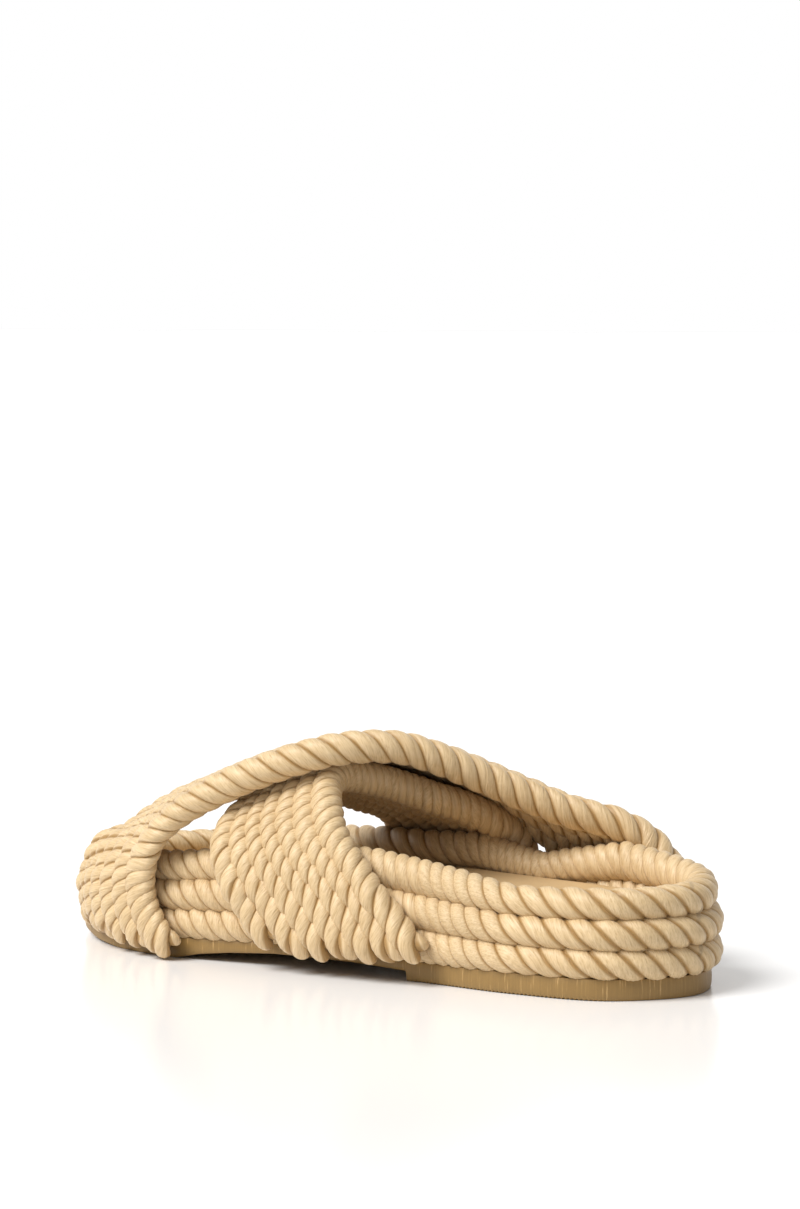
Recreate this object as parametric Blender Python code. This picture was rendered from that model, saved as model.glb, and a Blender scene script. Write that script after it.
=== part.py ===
"""Rope sandal, left foot: a rubber outsole, a thick insole, three rope rows stacked round its edge
and an upper of two crossed rope straps, standing empty.

Lengths in the tables are millimetres: y runs from the insole's heel back to the toe, x to the
shoe's right (its inner, medial side), z up from the ground."""
import bpy
import bmesh
import numpy as np

MM = 0.001
OBJECT_NAME = "rope_sandal"
GAP = 0.3            # clearance kept between neighbouring pieces
ROW_WIDTH = 10.8     # a rope row, across
STRAP_HALF = 4.6     # half the strap wall's thickness over a rope
VALLEY = 0.62        # depth of the wall between two ropes, as a share of STRAP_HALF
ROPES = 7            # ropes side by side in each strap
LEAP = 1.5           # extra height a strap keeps as it turns over the top row
CENTRE_X = -5.3      # middle of the finished shoe's box, moved to the origin
CENTRE_Y = 120.0

# station y, lateral x, medial x: the insole's outline, which is the rope rows' inner face
INSOLE_OUTLINE = (
    (10, -19.0, 19.5),
    (40, -27.8, 28.2),
    (75, -28.8, 25.3),
    (105, -30.8, 23.3),
    (135, -35.7, 26.8),
    (165, -40.7, 34.7),
    (183, -40.5, 39.5),
    (200, -36.0, 41.0),
    (214, -27.5, 38.0),
    (227, -14.0, 29.0),
)
INSOLE_ENDS = ((0.0, 0.0), (6.0, 239.0))

# station y, lateral x, medial x: the outsole's outline
OUTSOLE_OUTLINE = (
    (8, -28.0, 28.5),
    (40, -36.5, 37.0),
    (75, -37.5, 34.0),
    (105, -39.5, 32.0),
    (135, -44.5, 35.5),
    (165, -49.5, 43.5),
    (185, -50.0, 49.0),
    (205, -46.5, 50.5),
    (224, -37.5, 46.5),
    (240, -23.0, 34.0),
)
OUTSOLE_ENDS = ((0.0, -8.6), (3.0, 250.6))

# station y, top row's centre height on the lateral side, on the medial side, top of the outsole
STACK = (
    (-8, 31.0, 31.5, 7.3),
    (43, 30.2, 36.0, 7.3),
    (75, 34.0, 30.5, 7.0),
    (100, 36.2, 35.0, 8.3),
    (130, 35.5, 33.8, 8.6),
    (167, 32.0, 31.5, 7.6),
    (200, 29.0, 28.5, 6.6),
    (225, 26.8, 26.6, 6.6),
    (250, 26.5, 26.5, 7.2),
)

# station y, height of the insole's top along its middle
INSOLE_TOP = (
    (0, 26.5),
    (43, 26.5),
    (75, 27.6),
    (100, 28.4),
    (130, 27.0),
    (167, 23.5),
    (200, 20.6),
    (233, 19.4),
)
INSOLE_CUP = 1.2     # rise of the insole's edge over its middle

# y, z of the hollow under the arch, from the heel's breast to the ball
ARCH = (
    (83.0, 3.3),
    (105.0, 4.2),
    (135.0, 4.6),
    (152.0, 3.6),
    (164.0, 2.2),
    (174.0, 0.0),
)

# y, z of the lift under the toe
TOE_SPRING = (
    (203.0, 0.0),
    (219.0, 0.9),
    (234.0, 2.3),
    (252.0, 4.3),
)

# x, y, z along one rope of a strap, from the outer (lateral) side over the foot to the inner side
UNDER_STRAP = {
    "front": (
        (-51, 128, 8), (-53, 140, 24.5), (-52, 149, 38), (-46, 152, 46), (-37, 151, 52),
        (-25, 147, 56.5), (-10, 147, 57.8), (4, 147, 55.5), (18, 146, 51.5), (30, 145, 48),
        (40, 146, 41.5), (45, 147, 33), (46, 147, 22), (46, 147, 8),
    ),
    "middle": (
        (-48.5, 97, 8), (-50.5, 112, 26), (-50, 126, 38), (-45.5, 134, 47), (-38, 137, 55),
        (-27, 138, 61.5), (-15, 138, 63), (-3, 136, 61), (8, 132, 58), (20, 126, 53),
        (31, 121, 47), (39, 120, 40.5), (42, 120, 30), (42.5, 120, 20), (42.5, 120, 8),
    ),
    "rear": (
        (-45, 71, 8), (-45.5, 87, 26), (-45, 99, 37), (-43.5, 109, 46), (-39, 116, 55),
        (-32, 121, 61.5), (-22, 124, 64.4), (-10, 121, 62.5), (0, 116, 59.5), (9.5, 107.7, 55),
        (20.5, 100.8, 50.5), (31, 95, 44), (38.5, 91, 36), (41, 90, 22), (41, 89, 8),
    ),
}
OVER_STRAP = {
    "front": (
        (-30, 228, 8), (-31, 229, 17), (-31, 228, 25), (-28.5, 224.5, 32), (-23, 217.5, 38),
        (-16, 208, 45), (-8, 194, 52.5), (3, 174, 60.5), (15, 154, 64.5), (25, 132, 63),
        (34, 112, 57), (41.5, 90, 46.5), (45.5, 78, 36), (45, 74, 21), (44, 72, 8),
    ),
    "middle": (
        (-50, 205, 8), (-51, 207, 19), (-50.5, 206, 27), (-47.5, 203, 34), (-42, 196.5, 41),
        (-35, 185.5, 50), (-26, 170, 58.8), (-13, 150, 67.5), (2, 130, 71.5),
        (13, 111, 68.5), (23, 92, 61), (33, 73, 52), (40.5, 58, 42), (44.5, 50, 31),
        (45, 47, 20), (45, 46, 8),
    ),
    "rear": (
        (-57, 174, 8), (-57, 178, 13), (-57, 182, 21), (-57, 182.5, 30), (-57, 180, 37.5),
        (-55.5, 176, 44.5), (-53, 169, 51.2), (-50, 160, 57.3), (-46, 149, 63.2),
        (-38, 127.5, 71.8), (-28, 114.7, 75.2), (-15, 103, 74.8), (-4, 94.3, 70.4),
        (7, 85.4, 64.3), (24, 64, 53), (36.5, 44.5, 46.5), (43.5, 32, 34), (44, 27, 20),
        (44, 26, 8),
    ),
}


def smooth_path(points, count, closed=False):
    """A smooth curve through the points, evened out to `count` equal steps of length."""
    points = np.asarray(points, float)
    if closed:
        points = np.vstack([points[-3:], points, points[:3]])
    step = np.linalg.norm(np.diff(points, axis=0), axis=1) ** 0.5
    knots = np.r_[0.0, np.cumsum(step)]
    slope = np.diff(points, axis=0) / step[:, None]
    before, after = step[:-1, None], step[1:, None]
    inner = (slope[:-1] * after + slope[1:] * before) / (before + after)
    tangent = np.vstack([slope[:1], inner, slope[-1:]])
    first, last = (3, len(points) - 3) if closed else (0, len(points) - 1)
    t = np.linspace(knots[first], knots[last], count * 12 + 1)
    i = np.clip(np.searchsorted(knots, t, side="right") - 1, 0, len(step) - 1)
    h = step[i][:, None]
    u = ((t - knots[i]) / step[i])[:, None]
    curve = ((1 + 2 * u) * (1 - u) ** 2 * points[i] + u * (1 - u) ** 2 * h * tangent[i]
             + u ** 2 * (3 - 2 * u) * points[i + 1] + u ** 2 * (u - 1) * h * tangent[i + 1])
    length = np.r_[0.0, np.cumsum(np.linalg.norm(np.diff(curve, axis=0), axis=1))]
    even = np.linspace(0.0, length[-1], count, endpoint=not closed)
    return np.column_stack([np.interp(even, length, curve[:, k]) for k in range(curve.shape[1])])


def outline(rows, ends, count):
    """Closed outline, anticlockwise from the heel back, through a table's two sides."""
    lateral = [(row[1], row[0]) for row in rows]
    medial = [(row[2], row[0]) for row in rows]
    return smooth_path([ends[0]] + medial + [ends[1]] + lateral[::-1], count, closed=True)


def offset(curve, distance):
    """The closed curve moved outwards, square to itself."""
    along = np.roll(curve, -1, axis=0) - np.roll(curve, 1, axis=0)
    along /= np.linalg.norm(along, axis=1)[:, None]
    return curve + distance * np.column_stack([along[:, 1], -along[:, 0]])


def stack_heights(x, y):
    """Height of the top row's centre and of the outsole's top at each place in plan."""
    table = np.array(STACK, float)
    lateral = np.interp(y, table[:, 0], table[:, 1])
    medial = np.interp(y, table[:, 0], table[:, 2])
    side = np.clip(0.5 + x / 40.0, 0.0, 1.0)
    return lateral + (medial - lateral) * side, np.interp(y, table[:, 0], table[:, 3])


def make_object(name, verts, faces, collection):
    """Mesh object with merged poles, flat faces cut to triangles and normals outwards."""
    mesh = bpy.data.meshes.new(name)
    work = bmesh.new()
    made = [work.verts.new(v) for v in np.asarray(verts, float) * MM]
    for face in faces:
        corners = [made[k] for k in dict.fromkeys(face)]
        if len(corners) > 2:
            work.faces.new(corners)
    bmesh.ops.remove_doubles(work, verts=work.verts, dist=1e-5)
    bmesh.ops.dissolve_degenerate(work, edges=work.edges, dist=1e-6)
    bmesh.ops.triangulate(work, faces=work.faces)
    bmesh.ops.recalc_face_normals(work, faces=work.faces)
    work.to_mesh(mesh)
    work.free()
    thing = bpy.data.objects.new(name, mesh)
    collection.objects.link(thing)
    return thing


def loft(loops, closed_ring):
    """Faces joining equal loops in turn; an open row of loops gets two end caps."""
    loops = np.asarray(loops, float)
    count, sides = loops.shape[:2]
    index = np.arange(count * sides).reshape(count, sides)
    faces = []
    for i in range(count if closed_ring else count - 1):
        a, b = index[i], index[(i + 1) % count]
        for k in range(sides):
            n = (k + 1) % sides
            faces.append((a[k], a[n], b[n], b[k]))
    return loops.reshape(-1, 3), faces, index


def sole_solid(name, curve, top, bottom, columns, collection):
    """Solid inside a closed outline, between two height functions of x and y."""
    half = len(curve) // 2
    medial = curve[:half + 1]
    lateral = np.vstack([curve[:1], curve[:half - 1:-1]])
    loops = []
    for left, right in zip(lateral, medial):
        across = np.linspace(0.0, 1.0, columns)[:, None]
        line = left + (right - left) * across
        share = across[:, 0] * (np.linalg.norm(right - left) > 1e-6)
        upper = np.column_stack([line, top(line[:, 0], line[:, 1], share)])
        lower = np.column_stack([line, bottom(line[:, 0], line[:, 1], share)])
        loops.append(np.vstack([upper, lower[::-1]]))
    verts, faces, _ = loft(loops, closed_ring=False)
    return make_object(name, verts, faces, collection)


def side_profile_cutter(name, profile, collection):
    """Wedge across the shoe under a y, z profile, for the hollow of the arch and the toe's lift."""
    ys = [p[0] for p in profile]
    ring = [(ys[0], -3.0)] + list(profile) + [(ys[-1], -3.0)]
    loops = [[(x, y, z) for y, z in ring] for x in (-80.0, 80.0)]
    verts, faces, index = loft(loops, closed_ring=False)
    faces += [tuple(index[0][::-1]), tuple(index[1])]
    cutter = make_object(name, verts, faces, collection)
    cutter.hide_render = True
    cutter.display_type = "WIRE"
    return cutter


def apply_boolean(target, other, operation):
    """Exact boolean of two objects, left in the first one's mesh."""
    modifier = target.modifiers.new(operation.lower(), "BOOLEAN")
    modifier.operation = operation
    modifier.solver = "EXACT"
    modifier.object = other
    graph = bpy.context.evaluated_depsgraph_get()
    mesh = bpy.data.meshes.new_from_object(target.evaluated_get(graph))
    target.modifiers.clear()
    target.data = mesh


def build_outsole(collection, cutters):
    """One moulded sole: heel block with a straight breast, hollow arch, ball and toe lift."""
    curve = outline(OUTSOLE_OUTLINE, OUTSOLE_ENDS, 104)
    top = lambda x, y, across: stack_heights(x, y)[1] - GAP / 2
    sole = sole_solid("outsole", curve, top, lambda x, y, across: 0.0 * y, 3, collection)
    toe = list(TOE_SPRING) + [(270.0, 6.3)]
    for name, profile in (("cut_arch", ARCH), ("cut_toe", toe)):
        apply_boolean(sole, side_profile_cutter(name, profile, cutters), "DIFFERENCE")
    return sole


def build_insole(collection):
    """Thick insole inside the rope rows, its top a shallow cup that rises at the waist."""
    curve = offset(outline(INSOLE_OUTLINE, INSOLE_ENDS, 72), -GAP / 2)
    table = np.array(INSOLE_TOP, float)

    def top(x, y, across):
        return np.interp(y, table[:, 0], table[:, 1]) + INSOLE_CUP * (2 * across - 1) ** 2

    def bottom(x, y, across):
        return stack_heights(x, y)[1] + GAP / 2

    return sole_solid("insole", curve, top, bottom, 7, collection)


def build_rope_row(name, place, collection):
    """One closed rope round the edge; `place` is 0, 1 or 2 from the outsole up."""
    centre = offset(outline(INSOLE_OUTLINE, INSOLE_ENDS, 84), GAP / 2 + ROW_WIDTH / 2)
    rim, base = stack_heights(centre[:, 0], centre[:, 1])
    pitch = (rim - base) / 2.5
    height = base + (place + 0.5) * pitch
    away = offset(centre, 1.0) - centre
    loops = []
    for angle in np.linspace(0.0, 2 * np.pi, 8, endpoint=False) + np.pi / 8:
        out = np.cos(angle) * ROW_WIDTH / 2
        up = np.sin(angle) * (pitch - GAP / 2) / 2 / np.cos(np.pi / 8)
        loops.append(np.column_stack([centre + away * out, height + up]))
    verts, faces, _ = loft(np.array(loops).transpose(1, 0, 2), closed_ring=True)
    return make_object(name, verts, faces, collection)


def clear_of_rows(points, room):
    """Points of the strap moved out of the rope rows, so that `room` is left to the rows' face."""
    curve = outline(INSOLE_OUTLINE, INSOLE_ENDS, 720)
    away = offset(curve, 1.0) - curve
    flat = points.reshape(-1, 3)
    gap = flat[:, None, :2] - curve[None, :, :]
    near = np.argmin((gap ** 2).sum(axis=2), axis=1)
    reach = (gap[np.arange(len(flat)), near] * away[near]).sum(axis=1)
    row = curve[near] + away[near] * (GAP / 2 + ROW_WIDTH / 2)
    rim, base = stack_heights(row[:, 0], row[:, 1])
    radius = ROW_WIDTH / 2 + room
    rise = np.clip(flat[:, 2] - rim, 0.0, None) / (radius + LEAP)
    needed = GAP / 2 + ROW_WIDTH / 2 + radius * np.sqrt(np.clip(1 - rise ** 2, 0.0, None))
    short = np.where(rise < 1, np.clip(needed - reach, 0.0, None), 0.0)
    moved = flat.copy()
    moved[:, :2] += away[near] * short[:, None]
    return moved.reshape(points.shape)


def strap_sheet(guides, stations, ropes):
    """Grid of rope centres: each station's ropes lie on a parabola through the three guides."""
    front, middle, rear = (smooth_path(guides[k], stations) for k in ("front", "middle", "rear"))
    f = np.linspace(0.0, 1.0, ropes)[None, :, None]
    sheet = (2 * (f - 0.5) * (f - 1) * front[:, None] - 4 * f * (f - 1) * middle[:, None]
             + 2 * f * (f - 0.5) * rear[:, None])
    return clear_of_rows(sheet, STRAP_HALF + 2.5 * GAP)


def strap_solid(name, guides, collection):
    """A strap as one wall: its outer and inner faces rise over every rope and dip between them."""
    stations = 27
    sheet = strap_sheet(guides, stations, ROPES)
    along = np.gradient(sheet, axis=0)
    across = np.gradient(sheet, axis=1)
    up = np.cross(across, along)
    up /= np.linalg.norm(up, axis=2)[:, :, None]
    outer, inner = [], []
    for i in range(ROPES):
        half = across[:, i] * 0.5
        for share in (-0.42, 0.42):
            spot = sheet[:, i] + half * 2 * share
            outer.append(spot + up[:, i] * STRAP_HALF)
            inner.append(spot - up[:, i] * STRAP_HALF)
        if i < ROPES - 1:
            middle = (sheet[:, i] + sheet[:, i + 1]) / 2
            slant = (up[:, i] + up[:, i + 1]) / 2
            outer.append(middle + slant * STRAP_HALF * VALLEY)
            inner.append(middle - slant * STRAP_HALF * VALLEY)
    first = sheet[:, 0] - across[:, 0] * 0.5
    last = sheet[:, -1] + across[:, -1] * 0.5
    loops = np.array([first] + outer + [last] + inner[::-1]).transpose(1, 0, 2)
    loops = clear_of_rows(loops, 2.5 * GAP)
    verts, faces, index = loft(loops, closed_ring=False)
    faces += [tuple(index[0][::-1]), tuple(index[-1])]
    return make_object(name, verts, faces, collection)


def build_upper(collection, cutters):
    """Both straps as one wall, united where the front strap crosses over the other."""
    upper = strap_solid("upper", UNDER_STRAP, collection)
    over = strap_solid("over_strap", OVER_STRAP, cutters)
    over.hide_render = True
    over.display_type = "WIRE"
    apply_boolean(upper, over, "UNION")
    return upper


def material(name, colour, roughness):
    """Plain Principled material."""
    made = bpy.data.materials.new(name)
    made.use_nodes = True
    shader = made.node_tree.nodes["Principled BSDF"]
    shader.inputs["Base Color"].default_value = (*colour, 1.0)
    shader.inputs["Roughness"].default_value = roughness
    return made


def move_to_origin(things):
    """Put the middle of the shoe's box over the origin, in the meshes themselves."""
    for thing in things:
        for vertex in thing.data.vertices:
            vertex.co.x -= CENTRE_X * MM
            vertex.co.y -= CENTRE_Y * MM


def main():
    for thing in list(bpy.data.objects):
        bpy.data.objects.remove(thing, do_unlink=True)
    collection = bpy.data.collections.new(OBJECT_NAME)
    cutters = bpy.data.collections.new("cutters")
    bpy.context.scene.collection.children.link(collection)
    bpy.context.scene.collection.children.link(cutters)
    outsole = build_outsole(collection, cutters)
    insole = build_insole(collection)
    rows = [build_rope_row(name, k, collection) for k, name in
            enumerate(("rope_row_lower", "rope_row_middle", "rope_row_upper"))]
    upper = build_upper(collection, cutters)
    for thing in list(cutters.objects):
        bpy.data.objects.remove(thing, do_unlink=True)
    bpy.data.collections.remove(cutters)
    outsole.data.materials.clear()
    outsole.data.materials.append(material("outsole_rubber", (0.30, 0.20, 0.09), 0.6))
    insole.data.materials.append(material("insole_leather", (0.55, 0.40, 0.26), 0.5))
    for row, name in zip(rows, ("lower_rope", "middle_rope", "upper_rope")):
        row.data.materials.append(material(name, (0.70, 0.54, 0.32), 0.8))
    upper.data.materials.clear()
    upper.data.materials.append(material("strap_rope", (0.70, 0.54, 0.32), 0.8))
    move_to_origin([outsole, insole, upper] + rows)


main()
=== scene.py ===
"""Rope sandal, left foot: twisted rope straps and edge, rubber outsole, leather insole.

The tables are millimetres in the shoe's own frame, as the CAD part's are: y runs from the insole's
heel back to the toe, x to the shoe's right (its inner, medial side), z up from the ground. CENTRE
takes that frame to the CAD model's."""

import bpy
import numpy as np
from bpy.props import FloatProperty, FloatVectorProperty, IntProperty, PointerProperty
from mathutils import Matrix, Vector


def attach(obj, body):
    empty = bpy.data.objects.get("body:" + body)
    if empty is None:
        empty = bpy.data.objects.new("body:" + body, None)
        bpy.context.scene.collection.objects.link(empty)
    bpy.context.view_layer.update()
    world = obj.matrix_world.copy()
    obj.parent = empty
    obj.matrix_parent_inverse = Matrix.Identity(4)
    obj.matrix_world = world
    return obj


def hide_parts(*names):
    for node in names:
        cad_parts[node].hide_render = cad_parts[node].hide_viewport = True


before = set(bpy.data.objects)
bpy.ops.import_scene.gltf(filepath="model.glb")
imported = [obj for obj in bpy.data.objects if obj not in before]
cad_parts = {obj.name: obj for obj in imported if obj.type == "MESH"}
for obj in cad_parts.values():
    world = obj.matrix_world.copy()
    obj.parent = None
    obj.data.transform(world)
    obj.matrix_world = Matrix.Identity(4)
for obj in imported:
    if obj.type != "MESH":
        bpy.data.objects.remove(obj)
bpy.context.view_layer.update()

bl_info = {
    "name": "Rope Sandal",
    "version": (1, 0, 0),
    "blender": (4, 5, 0),
    "location": "3D View > Sidebar > Sandal",
    "description": "Twisted rope, rubber and leather for a sandal with crossed rope straps",
    "category": "Add Mesh",
}

MM = 0.001
# The middle of the shoe's box at ground level, in the tables' millimetres
CENTRE = np.array([-5.3, 120.0, 0.0])
# Room between two pieces, and how thick the rope edge is in plan
GAP = 0.3
ROW_WIDTH = 10.8
# Width in x over which a table's lateral values pass over into its medial ones
BLEND_WIDTH = 40.0

# Shape tables

# station y, lateral x, medial x: the insole's outline, which is the rope rows' inner face
INSOLE_OUTLINE = (
    (10, -19.0, 19.5),
    (40, -27.8, 28.2),
    (75, -28.8, 25.3),
    (105, -30.8, 23.3),
    (135, -35.7, 26.8),
    (165, -40.7, 34.7),
    (183, -40.5, 39.5),
    (200, -36.0, 41.0),
    (214, -27.5, 38.0),
    (227, -14.0, 29.0),
)
INSOLE_ENDS = ((0.0, 0.0), (6.0, 239.0))

# station y, lateral x, medial x: the outsole's outline
OUTSOLE_OUTLINE = (
    (8, -28.0, 28.5),
    (40, -36.5, 37.0),
    (75, -37.5, 34.0),
    (105, -39.5, 32.0),
    (135, -44.5, 35.5),
    (165, -49.5, 43.5),
    (185, -50.0, 49.0),
    (205, -46.5, 50.5),
    (224, -37.5, 46.5),
    (240, -23.0, 34.0),
)
OUTSOLE_ENDS = ((0.0, -8.6), (3.0, 250.6))

# station y, top row's centre height on the lateral side, on the medial side, top of the outsole
STACK = (
    (-8, 31.0, 31.5, 7.3),
    (43, 30.2, 36.0, 7.3),
    (75, 34.0, 30.5, 7.0),
    (100, 36.2, 35.0, 8.3),
    (130, 35.5, 33.8, 8.6),
    (167, 32.0, 31.5, 7.6),
    (200, 29.0, 28.5, 6.6),
    (225, 26.8, 26.6, 6.6),
    (250, 26.5, 26.5, 7.2),
)

# station y, height of the insole's top along its middle
INSOLE_TOP = (
    (0, 26.5),
    (43, 26.5),
    (75, 27.6),
    (100, 28.4),
    (130, 27.0),
    (167, 23.5),
    (200, 20.6),
    (233, 19.4),
)
# How much the insole's rim stands above its middle, before its edge rolls down
INSOLE_CUP = 1.2
# Shares from the middle line to the outline: first, last and how many
INSOLE_SHARES = (0.08, 0.94, 16)
# Share from the middle line to the outline, how far the edge has rolled down there
INSOLE_ROLL = (
    (0.965, 0.12),
    (0.985, 0.45),
    (0.996, 1.1),
    (1.0, 2.4),
)
# How far the middle line moves to +X; then the length that takes, its first y and its last
MIDDLE_DRIFT = 2.0
INSOLE_MIDDLE = (239, 12, 226)
OUTSOLE_MIDDLE = (245, 26, 225)

# y of the heel block's front face, at its foot and at its top
HEEL_BREAST = (82.6, 83.0)
# Ribs under the heel's edge: from one to the next, how deep, lengths over which they fade out at
# the heel's front and back, and the share of the way out from the middle line where they start
RIB_PITCH = 1.5
RIB_DEPTH = 0.5
RIB_FADE = (4.0, 20.0)
RIB_SHARE = 0.9
# Shares from the middle line to the outline of the rings on the outsole's top and underside
SOLE_TOP_SHARES = (0.05, 0.6, 0.93)
SOLE_UNDER_SHARES = (0.95, 0.85, 0.6, 0.3, 0.05)
# How far a ring of the outsole's side stands out, and its share of the way down
SOLE_EDGE = (
    (-0.45, 0.0),
    (-0.12, 0.02),
    (0.05, 0.10),
    (0.22, 0.28),
    (0.30, 0.5),
    (0.24, 0.72),
    (0.10, 0.90),
    (-0.15, 0.97),
    (-0.6, 1.0),
)

# y, z of the outsole's underside, from the heel back over the breast and the arch to the toe
UNDERSIDE = (
    (-9.0, 0.0),
    (82.6, 0.0),
    (83.0, 3.3),
    (105.0, 4.2),
    (135.0, 4.6),
    (152.0, 3.6),
    (164.0, 2.2),
    (174.0, 0.0),
    (203.0, 0.0),
    (219.0, 0.9),
    (234.0, 2.3),
    (252.0, 4.3),
)

# x, y, z along one rope of a strap, from the outer (lateral) side over the foot to the inner side
UNDER_STRAP = {
    "front": (
        (-51, 128, 8), (-53, 140, 24.5), (-52, 149, 38), (-46, 152, 46), (-37, 151, 52),
        (-25, 147, 56.5), (-10, 147, 57.8), (4, 147, 55.5), (18, 146, 51.5), (30, 145, 48),
        (40, 146, 41.5), (45, 147, 33), (46, 147, 22), (46, 147, 8),
    ),
    "middle": (
        (-48.5, 97, 8), (-50.5, 112, 26), (-50, 126, 38), (-45.5, 134, 47), (-38, 137, 55),
        (-27, 138, 61.5), (-15, 138, 63), (-3, 136, 61), (8, 132, 58), (20, 126, 53),
        (31, 121, 47), (39, 120, 40.5), (42, 120, 30), (42.5, 120, 20), (42.5, 120, 8),
    ),
    "rear": (
        (-45, 71, 8), (-45.5, 87, 26), (-45, 99, 37), (-43.5, 109, 46), (-39, 116, 55),
        (-32, 121, 61.5), (-22, 124, 64.4), (-10, 121, 62.5), (0, 116, 59.5), (9.5, 107.7, 55),
        (20.5, 100.8, 50.5), (31, 95, 44), (38.5, 91, 36), (41, 90, 22), (41, 89, 8),
    ),
}
OVER_STRAP = {
    "front": (
        (-38, 221.5, 8), (-39, 223, 17), (-38.5, 222, 23.5), (-35.5, 217.5, 30), (-31, 212.5, 37),
        (-24.5, 206, 43.5), (-17, 198.5, 49), (-8, 187.5, 54), (3, 170.5, 61), (14.5, 153.5, 65),
        (25, 132, 63.2), (34, 112, 57), (41.5, 90, 46.5), (45.5, 78, 36), (45, 74, 21),
        (44, 72, 8),
    ),
    "middle": (
        (-50, 205, 8), (-51, 207, 19), (-50.5, 206, 27), (-47.5, 203, 34), (-42, 196.5, 41),
        (-35, 185.5, 50), (-26, 170, 58.8), (-13, 150, 67.5), (2, 130, 71.5),
        (13, 111, 68.5), (23, 92, 61), (33, 73, 52), (40.5, 58, 42), (44.5, 50, 31),
        (45, 47, 20), (45, 46, 8),
    ),
    "rear": (
        (-57, 174, 8), (-57, 178, 13), (-57, 182, 21), (-57, 182.5, 30), (-57, 180, 37.5),
        (-55.5, 176, 44.5), (-53, 169, 51.2), (-50, 160, 57.3), (-46, 149, 63.2),
        (-38, 127.5, 71.8), (-28, 114.7, 75.2), (-15, 103, 74.8), (-4, 94.3, 70.4),
        (7, 85.4, 64.3), (24, 64, 53), (36.5, 44.5, 46.5), (43.5, 32, 34), (44, 27, 20),
        (44, 26, 8),
    ),
}

# Twist tables: how far apart the strands of a rope stand along it

# station y, on the lateral side, on the medial side
ROW_STRANDS = (
    (-6, 8.0, 7.6),
    (15, 8.6, 6.5),
    (31, 8.5, 6.0),
    (47, 7.3, 5.0),
    (62, 5.6, 4.6),
    (77, 4.8, 3.6),
    (92, 4.7, 3.4),
    (107, 5.0, 5.4),
    (122, 5.5, 8.0),
    (137, 6.0, 9.6),
    (165, 6.2, 9.6),
    (200, 6.6, 8.8),
    (245, 7.5, 7.5),
)
# share of the strap's length from the lateral end, front rope, rear rope
UNDER_STRANDS = (
    (0.00, 6.4, 7.0),
    (0.16, 6.4, 6.8),
    (0.27, 5.2, 4.8),
    (0.40, 4.6, 4.0),
    (0.50, 4.2, 3.2),
    (0.64, 4.4, 3.2),
    (0.74, 5.0, 4.4),
    (1.00, 6.4, 5.6),
)
OVER_STRANDS = (
    (0.00, 5.2, 4.8),
    (0.10, 5.4, 5.0),
    (0.22, 6.6, 6.2),
    (0.32, 7.4, 7.2),
    (0.90, 7.4, 7.4),
    (1.00, 6.0, 6.0),
)

# Ropes of the edge from the outsole up: CAD node, how far the rope stands out, angle of its first
# strand in radians
EDGE_ROPES = (
    ("rope_row_lower", 0.5, 0.3),
    ("rope_row_middle", 0.6, 2.1),
    ("rope_row_upper", -1.2, 4.0),
)
# Their wobble: up and down and in half height in mm, in the strands' spacing as a share
ROW_SWAY = 0.25
ROW_SWELL = 0.12
ROW_UNEVEN = 0.06
# Seeds of the lowest rope's strands and of its wobble; each rope above takes the next one
ROW_SEED = 5
ROW_WOBBLE_SEED = 40

# Strands in a rope
STRANDS = 3
# A strand's section, as shares of its rope's radius: a first guess of its path's radius and the
# most half width; then the share of its half width that lies between its path and the rope's face,
# and how many times these are worked out
PATH_GUESS = 0.55
STRAND_MOST = 0.54
STRAND_SINK = 0.94
PASSES = 6
# How much a strand's size wobbles, as a share
STRAND_SWELL = 0.05
# How far the grain is moved on from strand to strand and from seed to seed, in mm
GRAIN_SHIFT = (37.0, 13.0)
# Least cosine of a strand's slope that the grain's length along it is worked out with
LEAST_COSINE = 0.2
# Open ends: how much shorter a strand may be, rings in its tip and where in the tip they start
UNEVEN_ENDS = 0.7
TIP_RINGS = 6
TIP_START = 0.12

# Heights over the top row's centre, then how far out the straps stand there to follow the rows
STRAP_STAND = ((-12.0, -6.0, 0.0), (0.0, 1.3, -1.2))
# How far the straps' ropes press into the rows' face
STRAP_PRESS_IN = 0.1
# How far a rope's end can run on past its guide's end, in how many steps
RUN_ON = 4.5
RUN_ON_STEPS = 8
# Length of a rope's end that curls in under the edge, and of a strand's rounded tip
TUCK_REACH = 5.0
STRAP_TIP = 1.4
# Least half width and extra half height of a strap's inner ropes and of its first and last
LEAST_HALF_WIDTH = (4.0, 4.9)
EXTRA_HALF_HEIGHT = (0.0, 0.3)
# Place across the strap of the ropes that a drops row names, as a share
DROP_SHARES = (0.0, 0.17, 1.0)
# Crowding grows with this power of the place across the strap, and one of this many mm would make
# the rearmost rope twice as wide
CROWD_BEND = 1.5
CROWD_SPAN = 10.0
# Wobble of the strands' spacing as a share, and the angle in radians by which one rope's strands
# are turned on from the last one's
STRAP_UNEVEN = 0.05
STRAP_PHASE = 1.1

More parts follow.
